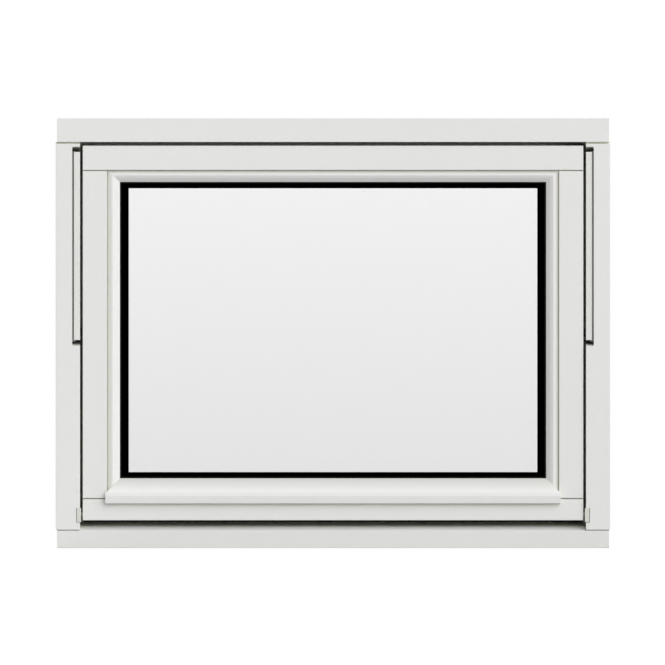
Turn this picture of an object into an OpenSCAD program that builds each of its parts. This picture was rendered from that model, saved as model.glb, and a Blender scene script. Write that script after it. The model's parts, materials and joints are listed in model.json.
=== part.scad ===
// Centre pivot window: a timber frame, one reversible sash with double glazing, and a pair of
// arm-and-link pivot hinges that sit in slots in the jambs.
// X runs to the right as seen from outside, Y runs into the room and Z runs up.
// The origin is the centre of the sill's underside. The sash is shown closed.

/* [Frame] */
// Width over the jambs
frame_w = 890; // [760:10:1400]
// Height from the underside of the sill to the top of the head
frame_h = 690; // [640:10:1400]
// Depth from the outside face to the room side
frame_d = 105; // [100:1:140]
// Width of a jamb as seen from outside
jamb_face = 39; // [36:0.5:60]
// Height of the head as seen from outside
head_face = 38.4; // [34:0.2:60]
// Height of the sill's front face
sill_face = 27.4; // [24:0.1:50]
// How far the jambs stand out past the ends of the head and sill
end_setback = 1.9; // [0.5:0.1:4]
// How far the inner stop stands in from the rebate
stop_w = 16; // [14:0.5:24]
// Depth of the inner stop
stop_d = 34; // [28:1:45]
// Rise of the sloping sill top from the front face to the stop
sill_rise = 13.9; // [6:0.1:14]
// Depth of the steeper part at the front of the sill's top
sill_lead_d = 24; // [16:1:30]
// Rise of that steeper part
sill_lead_rise = 7.3; // [2:0.1:8]
// How far the sill's front face leans back towards its foot
sill_undercut = 2; // [0:0.5:3]
// How far the sill's stop laps up behind the sash
sill_stop_lap = 11.5; // [10:0.5:20]
// Radius of the rounded timber edges
arris_r = 0.6; // [0.5:0.1:2]
// Width of the open joint between a jamb and the head
head_joint = 3; // [0.5:0.1:3]
// Width of the open joints at the jambs' feet and at both ends of a stile
post_joint = 1.8; // [0.5:0.1:2]
// Depth of the open joints
joint_d = 6; // [2:0.5:6]
// Radius of the fixing holes through the jambs
fix_hole_r = 5; // [3:0.5:6]
// Height of the lower fixing hole, and of the upper one down from the top
fix_z = 120; // [80:5:180]

/* [Sash] */
// Gap between the sash and each jamb
side_gap = 4.3; // [4:0.1:6]
// Gap between the sash and the head
top_gap = 5.9; // [4:0.1:8]
// Height of the sash's lower edge above the sill's front edge
bottom_gap = 17.1; // [16:0.1:20]
// How far the sash sits behind the outside face of the frame
sash_setback = 4; // [3:0.5:8]
// Thickness of the weatherstrip between the sash and the stop
strip_t = 4; // [3:0.5:6]
// Width of the weatherstrip
strip_w = 8; // [6:0.5:9]
// How far the weatherstrip's lower run hangs below the sash
strip_drop = 2.6; // [1:0.1:2.8]
// Width of a stile's flat face
stile_face = 39; // [34:0.1:60]
// Height of the top rail's flat face
top_rail_face = 39.1; // [34:0.1:60]
// Height of the bottom rail's flat face
bottom_rail_face = 33.8; // [32:0.1:60]
// Thickness of the inner lip that the glass is set against
lip_t = 20; // [12:0.5:22]

/* [Glass] */
// Thickness of a pane
pane_t = 4; // [3:0.5:6]
// Width of the cavity between the panes
cavity_t = 16; // [12:1:16]
// Thickness of a glazing gasket
gasket_t = 3; // [2:0.5:4]
// How far the gaskets show inside the beads
gasket_show = 2.5; // [1:0.5:4]
// Width of the spacer and edge seal round the unit
spacer_w = 20; // [18:0.5:24]
// Width of the spacer that shows inside the side beads
side_spacer_show = 14.2; // [8:0.1:15]
// Height of the spacer that shows below the top bead
top_spacer_show = 10.1; // [6:0.1:12]
// Height of the spacer that shows above the bottom bead
bottom_spacer_show = 10; // [6:0.1:12]
// Clearance round the edge of the unit
glass_clear = 3; // [2:0.5:4]

/* [Beads] */
// Width of a side bead
side_bead_w = 20.7; // [18:0.1:28]
// Width of the top bead
top_bead_w = 19.2; // [18:0.1:28]
// Height of the bottom bead's slope and crest above the bottom rail
bottom_bead_rise = 33.6; // [30:0.1:44]
// Thickness of a bead at its thin edge on the glass
bead_edge_t = 3; // [1.5:0.1:3]
// Rise of a bead from its thin edge to the shoulder where its slope eases off
shoulder_rise = 4.6; // [3:0.1:6]
// Rise of a bead from its thin edge to its crest
bead_rise = 7.4; // [6.5:0.1:10]
// Share of a bead's width from the glass to the shoulder
shoulder_share = 0.29; // [0.2:0.01:0.45]
// Share of a bead's width from the glass to the crest
crest_share = 0.58; // [0.5:0.01:0.7]
// Fall of a bead from its crest to its outer edge
bead_fall = 3; // [1:0.1:4]
// Depth of the check in the sash that a bead's flange lies in
bead_check = 10; // [8:0.5:11]
// Joint between a bead and the timber beside it
bead_joint = 0.3; // [0.2:0.1:0.5]
// How far the bottom bead's nose stands proud of the sash
nose_proud = 8; // [4:0.5:8]
// How far the nose laps down over the bottom rail
nose_drop = 7.2; // [5:0.1:12]
// How far the nose runs past the side beads at each end
nose_over = 2.9; // [1:0.1:5]
// How far the nose's face leans back towards its foot
nose_undercut = 1.2; // [0:0.1:2]

/* [Hinges] */
// Width of the hinge slot in the jamb
slot_w = 12.6; // [12.2:0.1:14]
// Depth of the hinge slot
slot_d = 44.5; // [42:0.5:50]
// How much of the slot's length runs out at each end
slot_runout = 7.2; // [4:0.1:7.4]
// Depth at which the run-out ends
slot_runout_d = 36; // [20:1:40]
// Space from the arm's upper end to the slot's end at the front
slot_end_space = 8.5; // [7.8:0.1:12]
// Space from the arm's lower end to the slot's end at the front
slot_foot_space = 9.5; // [7.8:0.1:12]
// Timber between the slot's upper end and the head
slot_head_space = 7.4; // [6:0.1:12]
// Length of the arm between its end pivots. The arm hangs from the head, so it sets the pivot's height
arm_l = 278.6; // [200:0.1:320]
// Distance from an end pivot to the arm's end
arm_end = 11.7; // [11:0.1:14]
// Width of the arm as seen from outside
arm_face = 9.9; // [9.5:0.1:10.5]
// Depth of the arm from front to back
arm_depth = 35; // [34:0.5:38]
// Thickness of the arm's sheet metal
arm_t = 2.2; // [1.5:0.1:2.5]
// How far the arm sits behind the outside face of the jamb
arm_setback = 3; // [2:0.5:5]
// Radius of the linkage pins
pin_r = 4; // [3:0.5:5]
// Radial clearance of the pins
pin_fit = 0.05; // [0.02:0.01:0.1]
// Width of the link
link_w = 18; // [14:1:20]
// Thickness of the link
link_t = 3; // [2:0.5:3.5]
// Width of the track that the shoe slides in
track_w = 26; // [22:1:27]
// Thickness of the track's sheet metal
track_t = 2; // [1.5:0.1:2.5]
// Length of the slide shoe
shoe_l = 22; // [16:1:22]
// Running clearance of the shoe
shoe_fit = 0.2; // [0.1:0.05:0.3]
// Length of the pivot plate let into the stile
pivot_plate_l = 90; // [60:5:120]
// Width of the pivot plate
pivot_plate_w = 16; // [13:1:18]
// Thickness of the pivot plate
pivot_plate_t = 2.5; // [2:0.5:4]

/* [Locking] */
// Width of a bolt keep as seen from outside
keep_w = 7; // [6:0.1:10]
// Height of a bolt keep
keep_h = 22.5; // [18:0.1:30]
// Depth of a bolt keep
keep_d = 28; // [26:1:34]
// Height of a keep's lower end above the sill's front edge
keep_lift = 14.3; // [12:0.1:15]
// How far a keep stands into the gap beside the sash
keep_proud = 1.6; // [0.5:0.1:3]
// Clearance beside and below a keep in its pocket
keep_clear = 0.8; // [0.2:0.1:0.9]
// Radius of the shoot bolts
bolt_r = 4.5; // [3:0.5:5]
// Clearance round a shoot bolt
bolt_fit = 0.1; // [0.05:0.05:0.3]
// Depth of a shoot bolt in the bottom rail
bolt_in_rail = 28; // [20:1:40]
// Length of the faceplate under the bottom rail
faceplate_l = 600; // [300:10:620]
// Width of the faceplate
faceplate_w = 16; // [14:1:20]
// Thickness of the faceplate
faceplate_t = 2.5; // [2:0.5:3]

/* [Handle] */
// Length of the rose
rose_l = 66; // [56:1:76]
// Height of the rose
rose_h = 30; // [26:1:32]
// Thickness of the rose
rose_t = 10; // [6:1:14]
// Radius of the handle's neck
neck_r = 9; // [7:0.5:10]
// Length of the lever from the neck to the centre of its rounded end
lever_l = 108; // [90:1:130]
// Height of the lever at the neck
lever_root_h = 20; // [18:1:22]
// Height of the lever at its end
lever_tip_h = 16; // [12:1:18]
// Thickness of the lever
lever_t = 12; // [9:0.5:14]
// Room for the fingers between the sash and the lever
finger_gap = 33; // [30:1:40]

/* [Hidden] */
$fn = 48;

paint = [0.886, 0.886, 0.878];
plated = [0.867, 0.863, 0.847];
steel = [0.62, 0.63, 0.64];
seal_black = [0.02, 0.02, 0.02];
glass_tint = [0.88, 0.9, 0.9, 0.45];

// Number of straight steps in a rounded edge, and in one of more than wide_r
arc_steps = 5;
wide_steps = 10;
wide_r = 5;
// Reach past a surface where a cut has to break through it
over = 1;

// Frame
half_w = frame_w / 2;
out_y = -frame_d / 2;
room_y = frame_d / 2;
bar_l = frame_w - 2 * end_setback;
rebate_x = half_w - jamb_face;
stop_x = rebate_x - stop_w;
head_z = frame_h - head_face;
head_stop_z = head_z - stop_w;
stop_y = room_y - stop_d;
fix_y = room_y - stop_d / 2;

// Sash
sash_x = rebate_x - side_gap;
sash_z0 = sill_face + bottom_gap;
sash_z1 = head_z - top_gap;
sash_y0 = out_y + sash_setback;
sash_y1 = stop_y - strip_t;
sill_stop_z = sash_z0 + sill_stop_lap;
stile_x = sash_x - stile_face;
rail_z0 = sash_z0 + bottom_rail_face;
rail_z1 = sash_z1 - top_rail_face;
sight_x = stile_x - side_bead_w;
sight_z0 = rail_z0 + bottom_bead_rise;
sight_z1 = rail_z1 - top_bead_w;

// Glass
unit_x = sight_x + spacer_w - side_spacer_show;
unit_z0 = sight_z0 + bottom_spacer_show - spacer_w;
unit_z1 = sight_z1 + spacer_w - top_spacer_show;
glazing_x = unit_x + glass_clear;
glazing_z0 = unit_z0 - glass_clear;
glazing_z1 = unit_z1 + glass_clear;
lip_y = sash_y1 - lip_t;
inner_pane_y = lip_y - gasket_t - pane_t;
outer_pane_y = inner_pane_y - cavity_t - pane_t;
bead_y = outer_pane_y - gasket_t;
bead_edge_y = bead_y - bead_edge_t;
shoulder_y = bead_edge_y - shoulder_rise;
bead_crest_y = bead_edge_y - bead_rise;
check_y = sash_y0 + bead_check;
nose_y = sash_y0 - nose_proud;
nose_z = rail_z0 - nose_drop;
// The bottom bead slopes as the side beads do, so that they meet on a line at 45 degrees
bead_slope = shoulder_rise / (shoulder_share * side_bead_w);
crest_z = sight_z0 - (bead_edge_y - nose_y) / bead_slope;
shoulder_r = 12;
crest_r = 4;
nose_r = 3;
nose_edge_r = 1.5;
bead_edge_r = 0.8;
bead_side_r = 1.6;

// Hinges
slot_z1 = head_z - slot_head_space;
arm_z1 = slot_z1 - slot_end_space;
shoe_z = arm_z1 - arm_end;
pivot_z = shoe_z - arm_l;
mid_pin_z = shoe_z - arm_l / 2;
arm_z0 = pivot_z - arm_end;
slot_z0 = arm_z0 - slot_foot_space;
track_z0 = slot_z0 + slot_runout;
track_z1 = slot_z1 - slot_runout;
slot_corner_r = 2.4;
arm_y0 = out_y + arm_setback;
arm_y1 = arm_y0 + arm_depth;
pin_y = (arm_y0 + arm_y1) / 2;
arm_back_w = 6;
slot_x = rebate_x + slot_w;
stack_gap = 0.4;
link_x = rebate_x + arm_t + 2 * stack_gap;
track_x = slot_x - track_t;
shoe_x = rebate_x + arm_t + 3 * stack_gap;
collar_r = 6.5;

// Locking
keep_z = sill_face + keep_lift;
keep_wall = 2;
bolt_y_share = 0.6;
bolt_y = out_y + bolt_y_share * keep_d;
bolt_lift = 10;
bolt_z = sash_z0 + bolt_lift;
bolt_tip_x = rebate_x + keep_w - keep_proud - keep_wall;
faceplate_in = 9;
faceplate_y = (sash_y0 + sash_y1) / 2 + faceplate_in;

// Handle
handle_z = (sash_z0 + sight_z0) / 2;
lever_y = sash_y1 + finger_gap;

// Points along the arc that rounds the corner b between a and c
function corner_arc(a, b, c, r) =
    let (u = (a - b) / norm(a - b))
    let (v = (c - b) / norm(c - b))
    let (half = acos(u * v) / 2)
    let (mid = b + (u + v) / norm(u + v) * r / sin(half))
    let (from = b + u * r / tan(half) - mid)
    let (to = b + v * r / tan(half) - mid)
    let (start = atan2(from[1], from[0]))
    let (turn = atan2(to[1], to[0]) - start)
    let (sweep = turn > 180 ? turn - 360 : turn < -180 ? turn + 360 : turn)
    let (steps = r > wide_r ? wide_steps : arc_steps)
    [for (i = [0:steps])
        let (angle = start + sweep * i / steps)
        mid + r * [cos(angle), sin(angle)]];

// An outline with each corner rounded to its own radius, and sharp where that is 0
function rounded(points, radii) =
    let (n = len(points))
    [for (i = [0:n - 1])
        let (p = points[i])
        each radii[i] > 0 ? corner_arc(points[(i + n - 1) % n], p, points[(i + 1) % n], radii[i]) : [p]];

// The radii, or all sharp where a plain section is wanted for cutting another piece to fit
function eased(radii, plain) = [for (r = radii) plain ? 0 : r];

// A section in Y and Z, run along X and centred
module along_x(length) {
    rotate([90, 0, 90])
        linear_extrude(length, center = true)
            children();
}

// A section in Y and Z, run along X from x0 to x1
module between_x(x0, x1) {
    translate([x0, 0, 0])
        rotate([90, 0, 90])
            linear_extrude(x1 - x0)
                children();
}

// An outline in X and Z, run along Y from y0 to y1
module between_y(y0, y1) {
    translate([0, y1, 0])
        rotate([90, 0, 0])
            linear_extrude(y1 - y0)
                children();
}

// An outline in X and Y, run along Z from z0 to z1
module between_z(z0, z1) {
    translate([0, 0, z0])
        linear_extrude(z1 - z0)
            children();
}

// A round bar along X
module bar_x(x0, x1, y, z, r) {
    translate([x0, y, z])
        rotate([0, 90, 0])
            cylinder(h = x1 - x0, r = r);
}

// A flat ring round the glass or the sash, from y0 to y1
module ring(outer_x, outer_z0, outer_z1, inner_x, inner_z0, inner_z1, y0, y1) {
    difference() {
        translate([-outer_x, y0, outer_z0])
            cube([2 * outer_x, y1 - y0, outer_z1 - outer_z0]);
        translate([-inner_x, y0 - over, inner_z0])
            cube([2 * inner_x, y1 - y0 + 2 * over, inner_z1 - inner_z0]);
    }
}

module mirrored_x() {
    mirror([1, 0, 0])
        children();
}

// What is cut from the front of a post's end: the open joint and the rounded edge beside it.
// dz is 1 where the post runs up from z, and -1 where it runs down
module end_cut(y, z, dz, width) {
    end_z = z + dz * width;
    arc = [for (i = [0:arc_steps])
        let (angle = 90 * i / arc_steps)
        [y + arris_r * (1 - sin(angle)), end_z + dz * arris_r * (1 - cos(angle))]];
    along_x(frame_w + 2 * over)
        polygon(concat(
            [[y - over, end_z + dz * arris_r], [y - over, z - dz * over],
                [y + joint_d, z - dz * over], [y + joint_d, end_z]], arc));
}

// Sections of the frame, in Y and Z
module head_section(plain) {
    polygon(rounded(
        [[out_y, head_z], [stop_y, head_z], [stop_y, head_stop_z],
            [room_y, head_stop_z], [room_y, frame_h], [out_y, frame_h]],
        eased([arris_r, 0, bead_edge_r, arris_r, bead_edge_r, bead_edge_r], plain)));
}

module sill_section(plain) {
    polygon(rounded(
        [[out_y + sill_undercut, 0], [out_y, sill_face], [out_y + sill_lead_d, sill_face + sill_lead_rise],
            [stop_y, sill_face + sill_rise], [stop_y, sill_stop_z], [room_y, sill_stop_z], [room_y, 0]],
        eased([bead_edge_r, arris_r, 0, 0, bead_edge_r, arris_r, bead_edge_r], plain)));
}

// Section of the right-hand jamb, in X and Y
module jamb_section() {
    polygon(rounded(
        [[half_w, out_y], [rebate_x, out_y], [rebate_x, stop_y],
            [stop_x, stop_y], [stop_x, room_y], [half_w, room_y]],
        [bead_edge_r, arris_r, 0, bead_edge_r, arris_r, bead_edge_r]));
}

// Section of a sash rail or stile: first the depth, then the distance across it.
// outer is the sash's edge, face where the flat face ends, glazing the rebate and sight the inner edge
function sash_section(outer, face, glazing, sight, plain) = rounded(
    [[sash_y0, outer], [sash_y0, face], [check_y, face], [check_y, glazing],
        [lip_y, glazing], [lip_y, sight], [sash_y1, sight], [sash_y1, outer]],
    eased([arris_r, bead_edge_r, 0, 0, 0, bead_edge_r, arris_r, arris_r], plain));

function swapped(points) = [for (p = points) [p[1], p[0]]];

module top_rail_section(plain) {
    polygon(sash_section(sash_z1, rail_z1, glazing_z1, sight_z1, plain));
}

module bottom_rail_section(plain) {
    polygon(sash_section(sash_z0, rail_z0, glazing_z0, sight_z0, plain));
}

module stile_section(plain) {
    polygon(swapped(sash_section(sash_x, stile_x, glazing_x, sight_x, plain)));
}

// The sash seen from above, with the corners of its edges rounded
module sash_plan() {
    polygon(rounded(
        [[-sash_x, sash_y0], [sash_x, sash_y0], [sash_x, sash_y1], [-sash_x, sash_y1]],
        [arris_r, arris_r, arris_r, arris_r]));
}

// Section of a side or top bead: first the depth, then the distance from the glass edge outward.
// glazing is where the rebate ends, so the flange beyond it lies in the check
function bead_section(width, glazing) = rounded(
    [[bead_y, 0], [bead_edge_y, 0], [shoulder_y, shoulder_share * width], [bead_crest_y, crest_share * width],
        [bead_crest_y + bead_fall, width - bead_joint], [check_y, width - bead_joint],
        [check_y, glazing - bead_joint], [bead_y, glazing - bead_joint]],
    [0, bead_edge_r, shoulder_r, crest_r, bead_side_r, 0, 0, 0]);

// Slots, pockets and holes
module hinge_slot() {
    front_y = out_y - over;
    runout_y = out_y + slot_runout_d;
    back_y = out_y + slot_d;
    mouth_x = rebate_x - over;
    intersection() {
        between_x(mouth_x, slot_x)
            polygon([[front_y, slot_z0], [out_y, slot_z0], [runout_y, track_z0], [back_y, track_z0],
                [back_y, track_z1], [runout_y, track_z1], [out_y, slot_z1], [front_y, slot_z1]]);
        between_y(front_y, back_y)
            polygon(rounded(
                [[mouth_x, slot_z0], [slot_x, slot_z0], [slot_x, slot_z1], [mouth_x, slot_z1]],
                [0, slot_corner_r, slot_corner_r, 0]));
    }
}

module keep_block() {
    between_y(out_y - bead_joint, out_y + keep_d)
        polygon(rounded(
            [[rebate_x - keep_proud, keep_z], [rebate_x - keep_proud + keep_w, keep_z],
                [rebate_x - keep_proud + keep_w, keep_z + keep_h], [rebate_x - keep_proud, keep_z + keep_h]],
            [bead_edge_r, bead_edge_r, bead_edge_r, bead_edge_r]));
}

module keep_pocket() {
    translate([rebate_x - over, out_y - over, keep_z - keep_clear])
        cube([keep_w - keep_proud + keep_clear + over, keep_d + over, keep_h + keep_clear]);
}

module pivot_pocket() {
    translate([sash_x - pivot_plate_t, pin_y - pivot_plate_w / 2, pivot_z - pivot_plate_l / 2])
        cube([pivot_plate_t + over, pivot_plate_w, pivot_plate_l]);
}

// Frame pieces
module right_jamb_solid() {
    difference() {
        between_z(sill_face, head_z)
            jamb_section();
        along_x(frame_w + 2 * over)
            head_section(true);
        along_x(frame_w + 2 * over)
            sill_section(true);
        end_cut(out_y, sill_face, 1, post_joint);
        end_cut(out_y, head_z, -1, head_joint);
        hinge_slot();
        keep_pocket();
        for (z = [fix_z, frame_h - fix_z])
            bar_x(stop_x - over, half_w + over, fix_y, z, fix_hole_r);
    }
}

module frame_head() {
    color(paint)
        along_x(bar_l)
            head_section(false);
}

module frame_sill() {
    drip_w = 5;
    drip_in = 9;
    color(paint)
        difference() {
            along_x(bar_l)
                sill_section(false);
            translate([-half_w, out_y + drip_in, -over])
                cube([frame_w, drip_w, drip_w + over]);
        }
}

module right_jamb() {
    color(paint)
        right_jamb_solid();
}

module left_jamb() {
    color(paint)
        mirrored_x()
            right_jamb_solid();
}

module frame_weatherstrip() {
    mid_x = (sash_x + stop_x) / 2;
    mid_z0 = (sash_z0 + sill_stop_z) / 2;
    mid_z1 = (sash_z1 + head_stop_z) / 2;
    half = strip_w / 2;
    color(seal_black)
        ring(mid_x + half, sash_z0 - strip_drop, mid_z1 + half,
            mid_x - half, mid_z0 + half, mid_z1 - half, sash_y1, stop_y);
}

// Sash pieces
module sash_top_rail() {
    color(paint)
        intersection() {
            along_x(2 * sash_x)
                top_rail_section(false);
            between_z(sight_z1 - over, sash_z1 + over)
                sash_plan();
        }
}

module sash_bottom_rail() {
    drip_w = 4;
    drip_in = 7;
    color(paint)
        difference() {
            intersection() {
                along_x(2 * sash_x)
                    bottom_rail_section(false);
                between_z(sash_z0 - over, sight_z0 + over)
                    sash_plan();
            }
            translate([-sash_x - over, sash_y0 + drip_in, sash_z0 - over])
                cube([2 * (sash_x + over), drip_w, drip_w + over]);
            translate([-faceplate_l / 2, faceplate_y - faceplate_w / 2, sash_z0 - over])
                cube([faceplate_l, faceplate_w, faceplate_t + over]);
            for (side = [0, 1])
                mirror([side, 0, 0])
                    bar_x(sash_x - bolt_in_rail, sash_x + over, bolt_y, bolt_z, bolt_r + bolt_fit);
        }
}

module right_stile_solid() {
    difference() {
        between_z(rail_z0, rail_z1)
            stile_section(false);
        along_x(2 * sash_x + 2 * over)
            top_rail_section(true);
        along_x(2 * sash_x + 2 * over)
            bottom_rail_section(true);
        end_cut(sash_y0, rail_z0, 1, post_joint);
        end_cut(sash_y0, rail_z1, -1, post_joint);
        pivot_pocket();
    }
}

module right_stile() {
    color(paint)
        right_stile_solid();
}

module left_stile() {
    color(paint)
        mirrored_x()
            right_stile_solid();
}

// Both stiles in their plain section, to cut the top and bottom beads to fit
module plain_stiles() {
    for (side = [0, 1])
        mirror([side, 0, 0])
            between_z(rail_z0, rail_z1)
                stile_section(true);
}

// Beads, mitred at the top corners and at 45 degrees on the bottom bead
module right_bead_solid() {
    intersection() {
        between_z(sight_z0 - side_bead_w, rail_z1)
            translate([sight_x, 0])
                polygon(swapped(bead_section(side_bead_w, glazing_x - sight_x)));
        between_y(bead_crest_y - over, bead_y + over)
            polygon([[sight_x, sight_z0], [stile_x, sight_z0 - side_bead_w],
                [stile_x, rail_z1], [sight_x, sight_z1]]);
    }
}

module right_bead() {
    color(paint)
        right_bead_solid();
}

module left_bead() {
    color(paint)
        mirrored_x()
            right_bead_solid();
}

module top_bead() {
    color(paint)
        difference() {
            intersection() {
                along_x(2 * stile_x)
                    translate([0, sight_z1])
                        polygon(bead_section(top_bead_w, glazing_z1 - sight_z1));
                between_y(bead_crest_y - over, bead_y + over)
                    polygon([[-sight_x, sight_z1], [sight_x, sight_z1],
                        [stile_x, rail_z1], [-stile_x, rail_z1]]);
            }
            plain_stiles();
        }
}

module bottom_bead() {
    nose_x = stile_x + nose_over;
    shoulder_z = sight_z0 - (nose_x - sight_x);
    color(paint)
        difference() {
            intersection() {
                along_x(2 * nose_x)
                    polygon(rounded(
                        [[bead_y, sight_z0], [bead_edge_y, sight_z0], [nose_y, crest_z],
                            [nose_y + nose_undercut, nose_z], [sash_y0, nose_z], [sash_y0, rail_z0],
                            [check_y, rail_z0], [check_y, glazing_z0], [bead_y, glazing_z0]],
                        [0, bead_edge_r, nose_r, nose_edge_r, 0, 0, 0, 0, 0]));
                between_y(nose_y - over, bead_y + over)
                    polygon([[-sight_x, sight_z0], [-nose_x, shoulder_z],
                        [-nose_x, nose_z + nose_edge_r], [nose_edge_r - nose_x, nose_z],
                        [nose_x - nose_edge_r, nose_z], [nose_x, nose_z + nose_edge_r],
                        [nose_x, shoulder_z], [sight_x, sight_z0]]);
            }
            plain_stiles();
        }
}

// Glazing
module pane(y) {
    translate([-unit_x, y, unit_z0])
        cube([2 * unit_x, pane_t, unit_z1 - unit_z0]);
}

module outer_pane() {
    color(glass_tint)
        pane(outer_pane_y);
}

module inner_pane() {
    color(glass_tint)
        pane(inner_pane_y);
}

module glass_spacer() {
    color(seal_black)
        ring(unit_x, unit_z0, unit_z1,
            unit_x - spacer_w, unit_z0 + spacer_w, unit_z1 - spacer_w,
            outer_pane_y + pane_t, inner_pane_y);
}

module gasket(y) {
    lap = 5;
    color(seal_black)
        ring(sight_x + lap, sight_z0 - lap, sight_z1 + lap,
            sight_x - gasket_show, sight_z0 + gasket_show, sight_z1 - gasket_show, y, y + gasket_t);
}

module outer_glazing_gasket() {
    gasket(bead_y);
}

module inner_glazing_gasket() {
    gasket(inner_pane_y + pane_t);
}

// Hinges. The link turns on the frame at the middle of the sash's height and carries the arm's
// middle. The arm's lower end carries the sash and its upper end slides in the track.
module hinge_track_solid() {
    lip_h = 3.4;
    difference() {
        translate([track_x - lip_h, pin_y - track_w / 2, track_z0])
            cube([track_t + lip_h, track_w, track_z1 - track_z0]);
        translate([track_x - lip_h - over, pin_y - track_w / 2 + track_t, track_z0 - over])
            cube([lip_h + over, track_w - 2 * track_t, track_z1 - track_z0 + 2 * over]);
    }
    bar_x(link_x - stack_gap, track_x + track_t / 2, pin_y, pivot_z, pin_r);
}

module hinge_arm_solid() {
    difference() {
        intersection() {
            between_z(arm_z0, arm_z1)
                polygon(rounded(
                    [[rebate_x, arm_y0], [rebate_x + arm_face, arm_y0], [rebate_x + arm_face, arm_y0 + arm_t],
                        [rebate_x + arm_t, arm_y0 + arm_t], [rebate_x + arm_t, arm_y1 - arm_t],
                        [rebate_x + arm_back_w, arm_y1 - arm_t], [rebate_x + arm_back_w, arm_y1],
                        [rebate_x, arm_y1]],
                    [bead_edge_r, bead_edge_r, 0, 0, 0, 0, bead_edge_r, bead_edge_r]));
            between_y(arm_y0 - over, arm_y1 + over)
                polygon(rounded(
                    [[rebate_x, arm_z0], [rebate_x + arm_face, arm_z0],
                        [rebate_x + arm_face, arm_z1], [rebate_x, arm_z1]],
                    [arris_r, arris_r, arris_r, arris_r]));
            between_x(rebate_x - over, rebate_x + arm_face + over)
                polygon(rounded(
                    [[arm_y0, arm_z0], [arm_y1, arm_z0], [arm_y1, arm_z1], [arm_y0, arm_z1]],
                    [arris_r, arm_end, arm_end, arris_r]));
        }
        bar_x(rebate_x - over, rebate_x + arm_t + over, pin_y, pivot_z, pin_r + pin_fit);
    }
    bar_x(rebate_x + arm_t / 2, link_x + link_t + stack_gap, pin_y, mid_pin_z, pin_r);
    bar_x(rebate_x + arm_t / 2, track_x - track_t, pin_y, shoe_z, pin_r);
}

module hinge_link_solid() {
    between_x(link_x, link_x + link_t)
        difference() {
            union() {
                for (z = [pivot_z, mid_pin_z])
                    translate([pin_y, z])
                        circle(d = link_w);
                translate([pin_y - link_w / 2, pivot_z])
                    square([link_w, mid_pin_z - pivot_z]);
            }
            for (z = [pivot_z, mid_pin_z])
                translate([pin_y, z])
                    circle(r = pin_r + pin_fit);
        }
}

module slide_shoe_solid() {
    shoe_w = track_w - 2 * track_t - 2 * shoe_fit;
    difference() {
        translate([shoe_x, pin_y - shoe_w / 2, shoe_z - shoe_l / 2])
            cube([track_x - shoe_fit - shoe_x, shoe_w, shoe_l]);
        bar_x(shoe_x - over, track_x - track_t + pin_fit, pin_y, shoe_z, pin_r + pin_fit);
    }
}

module sash_pivot_solid() {
    translate([sash_x - pivot_plate_t, pin_y - pivot_plate_w / 2, pivot_z - pivot_plate_l / 2])
        cube([pivot_plate_t, pivot_plate_w, pivot_plate_l]);
    bar_x(sash_x - pivot_plate_t / 2, rebate_x - stack_gap, pin_y, pivot_z, collar_r);
    bar_x(sash_x, rebate_x + arm_t + stack_gap / 2, pin_y, pivot_z, pin_r);
}

module right_hinge_track() {
    color(steel)
        hinge_track_solid();
}

module left_hinge_track() {
    color(steel)
        mirrored_x()
            hinge_track_solid();
}

module right_hinge_arm() {
    color(plated)
        hinge_arm_solid();
}

module left_hinge_arm() {
    color(plated)
        mirrored_x()
            hinge_arm_solid();
}

module right_hinge_link() {
    color(steel)
        hinge_link_solid();
}

module left_hinge_link() {
    color(steel)
        mirrored_x()
            hinge_link_solid();
}

module right_slide_shoe() {
    color(seal_black)
        slide_shoe_solid();
}

module left_slide_shoe() {
    color(seal_black)
        mirrored_x()
            slide_shoe_solid();
}

module right_sash_pivot() {
    color(steel)
        sash_pivot_solid();
}

module left_sash_pivot() {
    color(steel)
        mirrored_x()
            sash_pivot_solid();
}

// Locking
module bolt_keep_solid() {
    difference() {
        keep_block();
        bar_x(rebate_x - keep_proud - over, bolt_tip_x + bolt_fit, bolt_y, bolt_z, bolt_r + bolt_fit);
    }
}

module shoot_bolt_solid() {
    bar_x(sash_x - bolt_in_rail, bolt_tip_x, bolt_y, bolt_z, bolt_r);
}

module right_bolt_keep() {
    color(plated)
        bolt_keep_solid();
}

module left_bolt_keep() {
    color(plated)
        mirrored_x()
            bolt_keep_solid();
}

module right_shoot_bolt() {
    color(steel)
        shoot_bolt_solid();
}

module left_shoot_bolt() {
    color(steel)
        mirrored_x()
            shoot_bolt_solid();
}

module lock_faceplate() {
    color(steel)
        translate([-faceplate_l / 2, faceplate_y - faceplate_w / 2, sash_z0])
            cube([faceplate_l, faceplate_w, faceplate_t]);
}

// Handle, on the room side of the bottom rail, shown closed with the lever level
module handle_rose() {
    color(steel)
        between_y(sash_y1, sash_y1 + rose_t) {
            for (side = [-1, 1])
                translate([side * (rose_l - rose_h) / 2, handle_z])
                    circle(d = rose_h);
            translate([-(rose_l - rose_h) / 2, handle_z - rose_h / 2])
                square([rose_l - rose_h, rose_h]);
        }
}

module handle_lever() {
    color(steel) {
        translate([0, lever_y + lever_t / 2, handle_z])
            rotate([90, 0, 0])
                cylinder(h = lever_y + lever_t / 2 - sash_y1 - rose_t, r = neck_r);
        between_y(lever_y, lever_y + lever_t) {
            translate([0, handle_z])
                circle(d = lever_root_h);
            translate([lever_l, handle_z])
                circle(d = lever_tip_h);
            polygon([[0, handle_z - lever_root_h / 2], [lever_l, handle_z - lever_tip_h / 2],
                [lever_l, handle_z + lever_tip_h / 2], [0, handle_z + lever_root_h / 2]]);
        }
    }
}

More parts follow.
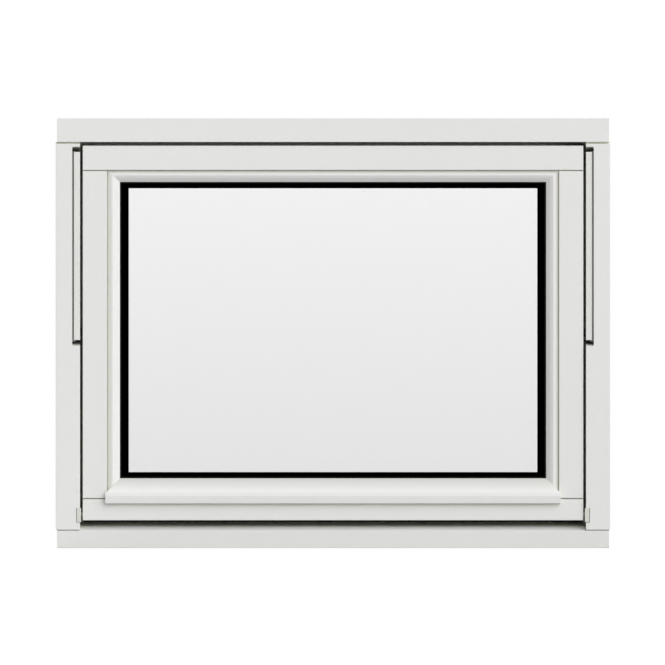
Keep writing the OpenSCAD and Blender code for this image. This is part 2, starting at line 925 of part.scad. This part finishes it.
frame_head();
frame_sill();
left_jamb();
right_jamb();
frame_weatherstrip();
sash_top_rail();
sash_bottom_rail();
left_stile();
right_stile();
top_bead();
bottom_bead();
left_bead();
right_bead();
outer_pane();
inner_pane();
glass_spacer();
outer_glazing_gasket();
inner_glazing_gasket();
left_hinge_track();
right_hinge_track();
left_hinge_arm();
right_hinge_arm();
left_hinge_link();
right_hinge_link();
left_slide_shoe();
right_slide_shoe();
left_sash_pivot();
right_sash_pivot();
left_bolt_keep();
right_bolt_keep();
left_shoot_bolt();
right_shoot_bolt();
lock_faceplate();
handle_rose();
handle_lever();
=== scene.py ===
"""Looks of the centre pivot window: camera, light, materials and the small fasteners."""

import json
import math

import bmesh
import bpy
from mathutils import Matrix, Vector

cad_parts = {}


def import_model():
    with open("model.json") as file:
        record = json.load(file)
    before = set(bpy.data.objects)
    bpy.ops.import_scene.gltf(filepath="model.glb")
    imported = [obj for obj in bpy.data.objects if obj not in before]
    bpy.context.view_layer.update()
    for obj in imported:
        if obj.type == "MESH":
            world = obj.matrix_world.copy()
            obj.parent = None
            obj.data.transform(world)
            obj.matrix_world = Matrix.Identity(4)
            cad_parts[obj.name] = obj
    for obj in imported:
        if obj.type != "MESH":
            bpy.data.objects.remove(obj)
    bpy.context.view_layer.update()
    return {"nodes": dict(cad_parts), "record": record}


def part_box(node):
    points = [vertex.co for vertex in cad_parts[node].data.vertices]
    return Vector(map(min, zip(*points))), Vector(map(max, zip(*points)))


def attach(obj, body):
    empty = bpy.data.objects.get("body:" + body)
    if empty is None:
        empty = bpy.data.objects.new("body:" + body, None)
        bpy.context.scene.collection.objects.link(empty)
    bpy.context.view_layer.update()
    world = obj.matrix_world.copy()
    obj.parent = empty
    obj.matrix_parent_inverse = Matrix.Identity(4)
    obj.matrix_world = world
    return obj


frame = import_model()
NODES = frame["nodes"]

# Millimetres to Blender's metres
MM = 0.001

# The photograph: its side in pixels, and how many millimetres of the window one pixel covers
PHOTO_PX = 665
MM_PER_PX = 1.605
# Pixel column of the window's centre line and pixel row of the sill's underside
CENTRE_COL = 333.0
SILL_ROW = 548.0
# How far in front of the window the camera stands, and how far it sees, in metres
CAMERA_AWAY = 3.0
CAMERA_REACH = 50.0

# Strengths of the even light from all round, the sun outside and the weaker one on the room side
SOFT_LIGHT = 0.46
SUN_LIGHT = 2.6
REAR_LIGHT = 2.0
# The directions from the window to the two suns, and how wide both are, in degrees
SUN_TOWARDS = (0.533, -0.683, 0.50)
REAR_TOWARDS = (-0.45, 0.75, 0.50)
SUN_WIDTH = 65
# The panes mirror darkness within this many degrees of the way straight out from the window
DARK_REACH = 20

# The floor: how far it reaches, in metres, its grey for the light that it throws back, and its
# grey and glow where it is seen
FLOOR_REACH = 12.0
FLOOR_DULL = (0.40, 0.40, 0.40, 1.0)
FLOOR_SEEN = (0.80, 0.80, 0.80, 1.0)
FLOOR_GLOW = 0.06

# The card behind the window, in metres: its distance, half its width, its lower and upper edge
CARD_AWAY = 2.0
CARD_HALF = 4.0
CARD_FOOT = -0.3
CARD_HEAD = 3.0
# The heights of the panes' bottom and top, and the card's strength at each
PANES_LOW = 121 * MM
PANES_HIGH = 578 * MM
CARD_LOW = 0.91
CARD_HIGH = 1.04

# Colours as linear light
WHITE = (1, 1, 1, 1)
PAINT = (0.745, 0.745, 0.732, 1.0)
# Painted shade on the bottom bead's slope, darkest beside the glass
GLASS_SHADE = (0.545, 0.545, 0.525, 1.0)
# Painted shade along the outer edges of the left and the top bead
SIDE_SHADE = (0.560, 0.560, 0.540, 1.0)
TOP_SHADE = (0.640, 0.640, 0.625, 1.0)
GLASS = (0.982, 0.983, 0.980, 1.0)
ARM_COAT = (0.715, 0.710, 0.685, 1.0)
KEEP_GREY = (0.640, 0.640, 0.590, 1.0)
BLACK = (0.0010, 0.0010, 0.0006, 1.0)
FOAM_BLACK = (0.010, 0.010, 0.009, 1.0)
ZINC = (0.30, 0.305, 0.31, 1.0)
# Painted shade: the sash pivots' near-black stands in for the shade in the gap beside the sash
PIVOT_SHADE_BLACK = (0.03, 0.03, 0.03, 1.0)
SATIN_ALU = (0.40, 0.40, 0.395, 1.0)
NYLON = (0.035, 0.035, 0.035, 1.0)
# Share of each colour that the painted shade keeps deep in a crevice, a warm tint standing in for
# the shade there, and how near a crevice's walls stand
CREVICE_SHADE_TINT = (1.0, 1.0, 0.88, 1.0)
CREVICE_REACH = 12 * MM
CREVICE_SAMPLES = 8

# How often a pattern repeats over a metre
MARKS_ACROSS = 900.0
MARKS_ALONG = 18.0
CLOUDS = 6.0
RUBBER_GRAIN = 700.0
METAL_GRAIN = 500.0
BRUSHED_ACROSS = 1400.0
BRUSHED_ALONG = 25.0
PEBBLES = 1100.0

# How far painted shade reaches down the bottom bead's slope from the glass, and how far painted
# shade reaches in from the outer edges of the left and the top bead
GLASS_SHADE_REACH = 20 * MM
SIDE_REACH = 5 * MM
TOP_REACH = 8 * MM
# The nose's face rounds over into the slope between these heights above its foot
ROUND_LOW = 11.4 * MM
ROUND_HIGH = 18.1 * MM
ROUND_DEPTH_MM = 2.6

# The material of each node that doesn't wear its record slot's own
OWN_LOOKS = {
    "frame_head": "paint_level", "frame_sill": "paint_level",
    "sash_top_rail": "paint_level", "sash_bottom_rail": "paint_level",
    "left_jamb": "paint_upright", "right_jamb": "paint_upright",
    "left_stile": "paint_upright", "right_stile": "paint_upright", "right_bead": "paint_upright",
    "left_bead": "paint_left_bead", "top_bead": "paint_top_bead", "bottom_bead": "paint_slope",
    # The sash pivots wear painted shade, near-black so that the gap beside the sash stays dark
    "left_sash_pivot": "pivot_painted_shade", "right_sash_pivot": "pivot_painted_shade",
}

# Sides of the small turned pieces
TURNED_STEPS = 64
# Rounded edges: how near points are joined first, the steps of a rounding, and the angle in
# degrees from which an edge is rounded
WELD_REACH = 0.01 * MM
ROUNDING_STEPS = 4
SHARP_ANGLE = 40


def camera():
    """A camera without perspective, straight in front, framed as the photograph is."""
    data = bpy.data.cameras.new("camera")
    data.type = "ORTHO"
    data.ortho_scale = PHOTO_PX * MM_PER_PX * MM
    data.clip_end = CAMERA_REACH
    cam = bpy.data.objects.new("camera", data)
    middle = PHOTO_PX / 2
    px = MM_PER_PX * MM
    cam.location = ((middle - CENTRE_COL) * px, -CAMERA_AWAY, (SILL_ROW - middle) * px)
    cam.rotation_euler = (math.radians(90), 0, 0)
    bpy.context.scene.collection.objects.link(cam)
    bpy.context.scene.camera = cam


def empty_tree(owner):
    """The node tree of a material or the world, emptied."""
    owner.use_nodes = True
    owner.node_tree.nodes.clear()
    return owner.node_tree


def link(tree, out_node, out_name, in_node, in_name):
    tree.links.new(out_node.outputs[out_name], in_node.inputs[in_name])


def maths(tree, operation, *values):
    """A Math node's output, from numbers or other nodes' outputs."""
    node = tree.nodes.new("ShaderNodeMath")
    node.operation = operation
    for socket, value in zip(node.inputs, values):
        if isinstance(value, (int, float)):
            socket.default_value = value
        else:
            tree.links.new(value, socket)
    return node.outputs[0]


def map_range(tree, value, low, high, first=0.0, last=1.0, curve="LINEAR"):
    """Turns a value's way from low to high into one from first to last."""
    node = tree.nodes.new("ShaderNodeMapRange")
    node.interpolation_type = curve
    node.inputs["From Min"].default_value = low
    node.inputs["From Max"].default_value = high
    node.inputs["To Min"].default_value = first
    node.inputs["To Max"].default_value = last
    tree.links.new(value, node.inputs["Value"])
    return node.outputs["Result"]


def one_axis(tree, node, output, axis):
    """The part along one axis of a vector that a node puts out."""
    split = tree.nodes.new("ShaderNodeSeparateXYZ")
    link(tree, node, output, split, "Vector")
    return split.outputs[axis]


def own_place(tree, axis):
    """Where a point lies along an axis of its object."""
    return one_axis(tree, tree.nodes.new("ShaderNodeTexCoord"), "Object", axis)


def looked_at(tree, path):
    """1 where the camera, a reflection or the glass looks, and 0 for light between surfaces."""
    seen = maths(tree, "MAXIMUM", path.outputs["Is Camera Ray"], path.outputs["Is Glossy Ray"])
    return maths(tree, "MAXIMUM", seen, path.outputs["Is Transmission Ray"])


def show_either(tree, choice, first, second, output):
    """Ends a tree in an output node, which gets the first shader at choice 0, the second at 1."""
    mix = tree.nodes.new("ShaderNodeMixShader")
    out = tree.nodes.new(output)
    tree.links.new(choice, mix.inputs[0])
    tree.links.new(first.outputs[0], mix.inputs[1])
    tree.links.new(second.outputs[0], mix.inputs[2])
    tree.links.new(mix.outputs[0], out.inputs["Surface"])


def world():
    """White where the camera, a reflection or the glass looks past the window, and an even soft
    light for the rest.

    What the panes mirror straight back is dark, as it is where a camera stands in an unlit studio.
    """
    room = bpy.data.worlds.new("world")
    bpy.context.scene.world = room
    tree = empty_tree(room)
    path = tree.nodes.new("ShaderNodeLightPath")
    direct = maths(tree, "LESS_THAN", path.outputs["Diffuse Depth"], 0.5)
    seen = maths(tree, "MULTIPLY", looked_at(tree, path), direct)
    direction = one_axis(tree, tree.nodes.new("ShaderNodeTexCoord"), "Generated", "Y")
    behind_camera = maths(tree, "LESS_THAN", direction, -math.cos(math.radians(DARK_REACH)))
    mirrored = maths(tree, "GREATER_THAN", path.outputs["Glossy Depth"], 0.5)
    dark = maths(tree, "MULTIPLY", behind_camera, mirrored)
    light = tree.nodes.new("ShaderNodeBackground")
    light.inputs["Color"].default_value = WHITE
    light.inputs["Strength"].default_value = SOFT_LIGHT
    backdrop = tree.nodes.new("ShaderNodeBackground")
    backdrop.inputs["Color"].default_value = WHITE
    tree.links.new(maths(tree, "SUBTRACT", 1.0, dark), backdrop.inputs["Strength"])
    show_either(tree, seen, light, backdrop, "ShaderNodeOutputWorld")


def sun(name, strength, towards):
    """A wide soft lamp, towards being the way from the window to it. Gloss doesn't mirror it, so
    that pale faces don't clip."""
    data = bpy.data.lights.new(name, "SUN")
    data.energy = strength
    data.angle = math.radians(SUN_WIDTH)
    lamp = bpy.data.objects.new(name, data)
    lamp.visible_glossy = False
    lamp.rotation_mode = "QUATERNION"
    lamp.rotation_quaternion = Vector(towards).to_track_quat("Z", "Y")
    bpy.context.scene.collection.objects.link(lamp)


def plane(name, corners):
    mesh = bpy.data.meshes.new(name)
    mesh.from_pydata(corners, [], [range(len(corners))])
    obj = bpy.data.objects.new(name, mesh)
    bpy.context.scene.collection.objects.link(obj)
    return obj


def floor():
    """The plain floor that the window stands on. It looks white, keeps the shadow and throws back
    little light."""
    far = FLOOR_REACH
    obj = plane("floor", [(-far, -far, 0), (far, -far, 0), (far, far, 0), (-far, far, 0)])
    mat = bpy.data.materials.new("floor_white")
    tree = empty_tree(mat)
    path = tree.nodes.new("ShaderNodeLightPath")
    dull = tree.nodes.new("ShaderNodeBsdfDiffuse")
    dull.inputs["Color"].default_value = FLOOR_DULL
    pale = tree.nodes.new("ShaderNodeBsdfDiffuse")
    pale.inputs["Color"].default_value = FLOOR_SEEN
    glow = tree.nodes.new("ShaderNodeEmission")
    glow.inputs["Strength"].default_value = FLOOR_GLOW
    white = tree.nodes.new("ShaderNodeAddShader")
    tree.links.new(pale.outputs[0], white.inputs[0])
    tree.links.new(glow.outputs[0], white.inputs[1])
    show_either(tree, looked_at(tree, path), dull, white, "ShaderNodeOutputMaterial")
    obj.data.materials.append(mat)


def back_card():
    """A pale card far behind the window, seen only through the glass: lighter at the top, as in
    the photograph."""
    obj = plane("back_card", [
        (-CARD_HALF, CARD_AWAY, CARD_FOOT), (CARD_HALF, CARD_AWAY, CARD_FOOT),
        (CARD_HALF, CARD_AWAY, CARD_HEAD), (-CARD_HALF, CARD_AWAY, CARD_HEAD),
    ])
    mat = bpy.data.materials.new("back_card")
    tree = empty_tree(mat)
    height = one_axis(tree, tree.nodes.new("ShaderNodeNewGeometry"), "Position", "Z")
    glow = tree.nodes.new("ShaderNodeEmission")
    glow.inputs["Color"].default_value = WHITE
    fade = map_range(tree, height, PANES_LOW, PANES_HIGH, CARD_LOW, CARD_HIGH)
    tree.links.new(fade, glow.inputs["Strength"])
    path = tree.nodes.new("ShaderNodeLightPath")
    lighting = maths(tree, "GREATER_THAN", path.outputs["Diffuse Depth"], 0.5)
    clear = tree.nodes.new("ShaderNodeBsdfTransparent")
    show_either(tree, lighting, glow, clear, "ShaderNodeOutputMaterial")
    obj.data.materials.append(mat)
    obj.visible_camera = False
    obj.visible_diffuse = False
    obj.visible_glossy = False
    obj.visible_shadow = False


def material(name, base, roughness, metallic=0.0):
    mat = bpy.data.materials.new(name)
    mat.use_nodes = True
    bsdf = mat.node_tree.nodes["Principled BSDF"]
    bsdf.inputs["Base Color"].default_value = base
    bsdf.inputs["Roughness"].default_value = roughness
    bsdf.inputs["Metallic"].default_value = metallic
    return mat, mat.node_tree, bsdf


def stretched_noise(tree, scale, detail=4.0):
    """Noise in the object's own place, with its own stretch along X, Y and Z."""
    place = tree.nodes.new("ShaderNodeTexCoord")
    stretch = tree.nodes.new("ShaderNodeMapping")
    stretch.inputs["Scale"].default_value = scale
    noise = tree.nodes.new("ShaderNodeTexNoise")
    noise.inputs["Scale"].default_value = 1.0
    noise.inputs["Detail"].default_value = detail
    link(tree, place, "Object", stretch, "Vector")
    link(tree, stretch, "Vector", noise, "Vector")
    return noise


def vary_colour(tree, bsdf, noise, base, spread):
    """Lets the colour drift by a small share to either side of its base."""
    ramp = tree.nodes.new("ShaderNodeValToRGB")
    dark, pale = ramp.color_ramp.elements
    dark.position, pale.position = 0.3, 0.7
    dark.color = [c * (1 - spread) for c in base[:3]] + [1.0]
    pale.color = [c * (1 + spread) for c in base[:3]] + [1.0]
    link(tree, noise, "Fac", ramp, "Fac")
    link(tree, ramp, "Color", bsdf, "Base Color")


def vary_roughness(tree, bsdf, noise, low, high):
    span = map_range(tree, noise.outputs["Fac"], 0.0, 1.0, low, high)
    tree.links.new(span, bsdf.inputs["Roughness"])


def bump(tree, bsdf, noise, height_mm, strength):
    node = tree.nodes.new("ShaderNodeBump")
    node.inputs["Distance"].default_value = height_mm * MM
    node.inputs["Strength"].default_value = strength
    link(tree, noise, "Fac", node, "Height")
    link(tree, node, "Normal", bsdf, "Normal")


def overlay(tree, bsdf, share, colour, blend="MIX"):
    """Lays a colour over the base colour that the shader has so far."""
    mix = tree.nodes.new("ShaderNodeMixRGB")
    mix.blend_type = blend
    mix.inputs["Color2"].default_value = colour
    tree.links.new(bsdf.inputs["Base Color"].links[0].from_socket, mix.inputs["Color1"])
    tree.links.new(share, mix.inputs["Fac"])
    link(tree, mix, "Color", bsdf, "Base Color")


def shade_band(tree, bsdf, shade_colour, axis, clear_end, dark_end):
    """A band of painted shade in a colour that deepens along an axis, from nothing at one place to
    full at the other.
    """
    overlay(tree, bsdf, map_range(tree, own_place(tree, axis), clear_end, dark_end), shade_colour)


def crevice_shade(tree, bsdf):
    """Painted shade: a warm tint that takes a little blue from the paint where little light reaches
    it, between surfaces close together.
    """
    open_air = tree.nodes.new("ShaderNodeAmbientOcclusion")
    open_air.samples = CREVICE_SAMPLES
    open_air.inputs["Distance"].default_value = CREVICE_REACH
    depth = maths(tree, "SUBTRACT", 1.0, open_air.outputs["AO"])
    overlay(tree, bsdf, depth, CREVICE_SHADE_TINT, "MULTIPLY")


def round_over(tree, bsdf, low, high, depth_mm):
    """Rounds a face over between two heights, as if it fell back by depth_mm on the way up."""
    fall = map_range(tree, own_place(tree, "Z"), low, high, 1.0, 0.0, "SMOOTHSTEP")
    node = tree.nodes.new("ShaderNodeBump")
    node.inputs["Distance"].default_value = depth_mm * MM
    tree.links.new(bsdf.inputs["Normal"].links[0].from_socket, node.inputs["Normal"])
    tree.links.new(fall, node.inputs["Height"])
    link(tree, node, "Normal", bsdf, "Normal")


def paint(name, along, shade_along=None, rounded=None):
    """Opaque satin paint with fine brush marks that run along the timber. It may lay a band of
    painted shade, given as its colour, the axis and the two places for it, and may round over
    between two heights, by how far."""
    mat, tree, bsdf = material(name, PAINT, roughness=0.42)
    scale = [MARKS_ALONG if axis == along else MARKS_ACROSS for axis in "xyz"]
    marks = stretched_noise(tree, scale)
    vary_roughness(tree, bsdf, marks, low=0.38, high=0.48)
    bump(tree, bsdf, marks, height_mm=0.05, strength=0.35)
    clouds = stretched_noise(tree, [CLOUDS] * 3, detail=2.0)
    vary_colour(tree, bsdf, clouds, PAINT, spread=0.006)
    if shade_along:
        shade_band(tree, bsdf, *shade_along)
    # Painted shade: a warm tint in the crevices
    crevice_shade(tree, bsdf)
    if rounded:
        round_over(tree, bsdf, *rounded)
    return mat


def plain_black(name, base, roughness, grain_mm):
    """Rubber, foam or sealant with a fine grain."""
    mat, tree, bsdf = material(name, base, roughness)
    bsdf.inputs["Specular IOR Level"].default_value = 0.15
    grain = stretched_noise(tree, [RUBBER_GRAIN] * 3, detail=2.0)
    bump(tree, bsdf, grain, grain_mm, strength=0.3)
    vary_colour(tree, bsdf, grain, base, spread=0.2)
    return mat


def metal(name, base, roughness, brushed_along=None):
    mat, tree, bsdf = material(name, base, roughness, metallic=1.0)
    scale = [METAL_GRAIN] * 3
    if brushed_along:
        scale = [BRUSHED_ALONG if axis == brushed_along else BRUSHED_ACROSS for axis in "xyz"]
    grain = stretched_noise(tree, scale, detail=3.0)
    vary_roughness(tree, bsdf, grain, low=roughness - 0.06, high=roughness + 0.08)
    bump(tree, bsdf, grain, height_mm=0.02, strength=0.3)
    vary_colour(tree, bsdf, grain, base, spread=0.04)
    return mat


def moulded(name, base, roughness):
    """Powder coat or moulded plastic with a fine pebbled skin."""
    mat, tree, bsdf = material(name, base, roughness)
    pebbles = stretched_noise(tree, [PEBBLES] * 3, detail=2.0)
    bump(tree, bsdf, pebbles, height_mm=0.04, strength=0.3)
    vary_colour(tree, bsdf, pebbles, base, spread=0.015)
    return mat


def glass():
    mat, _, bsdf = material("float_glass", GLASS, roughness=0.0)
    bsdf.inputs["Transmission Weight"].default_value = 1.0
    bsdf.inputs["IOR"].default_value = 1.45
    return mat


def dress(materials):
    """Gives every CAD node its material."""
    for entry in frame["record"]["subparts"]:
        node = entry["node"]
        obj = NODES[node]
        obj.data.materials.clear()
        obj.data.materials.append(materials[OWN_LOOKS.get(node, entry["material_slot"])])


def cross(reach, half):
    """The outline of a cross-shaped recess: its radius at an angle, from the reach and half width
    of its arms."""
    def radius(angle):
        turn = abs((angle + math.pi / 4) % (math.pi / 2) - math.pi / 4)
        return reach / math.cos(turn) if reach * math.tan(turn) <= half else half / math.sin(turn)
    return radius


def turned(name, rings, place, facing, mat):
    """A piece built of rings round an axis, closed at both ends. A ring is a height and a radius in
    millimetres, and the radius may be a function of the angle."""
    mesh = bmesh.new()
    loops = []
    for height, radius in rings:
        loop = []
        for i in range(TURNED_STEPS):
            angle = 2 * math.pi * i / TURNED_STEPS
            r = (radius(angle) if callable(radius) else radius) * MM
            loop.append(mesh.verts.new((r * math.cos(angle), r * math.sin(angle), height * MM)))
        loops.append(loop)
    for low, high in zip(loops, loops[1:]):
        for i in range(TURNED_STEPS):
            j = (i + 1) % TURNED_STEPS
            mesh.faces.new((low[i], low[j], high[j], high[i]))
    mesh.faces.new(list(reversed(loops[0])))
    mesh.faces.new(loops[-1])
    turn = Vector(facing).to_track_quat("Z", "X").to_matrix().to_4x4()
    mesh.transform(Matrix.Translation(place) @ turn)
    data = bpy.data.meshes.new(name)
    mesh.to_mesh(data)
    mesh.free()
    obj = bpy.data.objects.new(name, data)
    bpy.context.scene.collection.objects.link(obj)
    data.materials.append(mat)
    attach(obj, "root")


def rose_screws(mat):
    """Two oval-head screws that hold the handle's rose, one at the middle of each rounded end."""
    rings = [
        (-0.5, 3.6), (0, 4.0), (0.3, 4.0), (0.75, 3.5), (1.05, 2.9), (1.2, 2.3),
        (1.2, cross(reach=1.9, half=0.4)), (0.2, cross(reach=1.4, half=0.3)),
    ]
    low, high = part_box("handle_rose")
    middle_x, middle_z = (low[0] + high[0]) / 2, (low[2] + high[2]) / 2
    out = (high[0] - low[0]) / 2 - (high[2] - low[2]) / 2
    for side, name in ((-1, "rose_screw_left"), (1, "rose_screw_right")):
        place = (middle_x + side * out, high[1], middle_z)
        turned(name, rings, place, (0, 1, 0), mat)


def cover_caps(mat):
    """A push-in cap over each fixing hole, on the inner side of the jambs' stops."""
    rings = [
        (-8, 3.6), (-7.5, 4.2), (-1.2, 4.7), (0, 4.7), (0, 7), (0.5, 7), (0.9, 6.6), (1.2, 5.4),
        (1.35, 3),
    ]
    for mount in frame["record"]["mounts"]:
        if mount["kind"] != "bolt_pattern":
            continue
        side = 1 if mount["axis"][0] > 0 else -1
        jamb = "right_jamb" if side > 0 else "left_jamb"
        low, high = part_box(jamb)
        face_x = low[0] if side > 0 else high[0]
        half = mount["dims"]["spacing_y_mm"] / 2 * MM
        _, y, z = mount["pos_m"]
        for end, word in ((-1, "lower"), (1, "upper")):
            place = (face_x, y, z + end * half)
            turned(f"{jamb}_{word}_cap", rings, place, (-side, 0, 0), mat)


def rounded_edges(node, width_mm):
    """Rounds the sharp edges of a cast or forged CAD node."""
    obj = NODES[node]
    weld = obj.modifiers.new("weld", "WELD")
    weld.merge_threshold = WELD_REACH
    bevel = obj.modifiers.new("rounded_edges", "BEVEL")
    bevel.width = width_mm * MM
    bevel.segments = ROUNDING_STEPS
    bevel.limit_method = "ANGLE"
    bevel.angle_limit = math.radians(SHARP_ANGLE)
    normals = obj.modifiers.new("normals", "WEIGHTED_NORMAL")
    normals.keep_sharp = False


camera()
world()
sun("front_sun", SUN_LIGHT, SUN_TOWARDS)
sun("room_sun", REAR_LIGHT, REAR_TOWARDS)
floor()
back_card()

# The foot of the bottom bead's nose and the top of its slope, beside the glass
nose_foot, glass_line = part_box("bottom_bead")[0][2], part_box("bottom_bead")[1][2]
# The outer edges of the left and the top bead, where shade is painted along the joint
left_edge, top_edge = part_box("left_bead")[0][0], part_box("top_bead")[1][2]

dress({
    "paint_level": paint("paint_level", "x"),
    "paint_upright": paint("paint_upright", "z"),
    # Painted shade along the outer edges of the left and the top bead, deepest at the joint
    "paint_left_bead": paint(
        "paint_left_bead", "z",
        shade_along=(SIDE_SHADE, "X", left_edge + SIDE_REACH, left_edge)),
    "paint_top_bead": paint(
        "paint_top_bead", "x",
        shade_along=(TOP_SHADE, "Z", top_edge - TOP_REACH, top_edge)),
    "paint_slope": paint(
        "paint_slope", "x",
        # Painted shade on the slope, darker towards the glass
        shade_along=(GLASS_SHADE, "Z", glass_line - GLASS_SHADE_REACH, glass_line),
        rounded=(nose_foot + ROUND_LOW, nose_foot + ROUND_HIGH, ROUND_DEPTH_MM)),
    "glass": glass(),
    "edge_seal": plain_black("edge_seal", BLACK, roughness=0.7, grain_mm=0.02),
    "gasket": plain_black("gasket_rubber", BLACK, roughness=0.6, grain_mm=0.03),
    "weatherstrip": plain_black("foam_rubber", FOAM_BLACK, roughness=0.9, grain_mm=0.2),
    "coated_arm": moulded("arm_coat", ARM_COAT, roughness=0.4),
    "plated_steel": metal("zinc_plate", ZINC, roughness=0.35),
    # Painted shade on the sash pivots, so that the gap beside the sash stays dark
    "pivot_painted_shade": metal("pivot_painted_shade", PIVOT_SHADE_BLACK, roughness=0.5),
    "shoe_plastic": moulded("nylon", NYLON, roughness=0.5),
    "keep_plastic": moulded("keep_plastic", KEEP_GREY, roughness=0.5),
    "handle_metal": metal("satin_aluminium", SATIN_ALU, roughness=0.32, brushed_along="x"),
})
rounded_edges("handle_lever", width_mm=3)
rounded_edges("handle_rose", width_mm=2)
rose_screws(metal("screw_steel", ZINC, roughness=0.3))
cover_caps(moulded("cap_plastic", PAINT, roughness=0.35))

bpy.context.scene.view_settings.view_transform = "Standard"
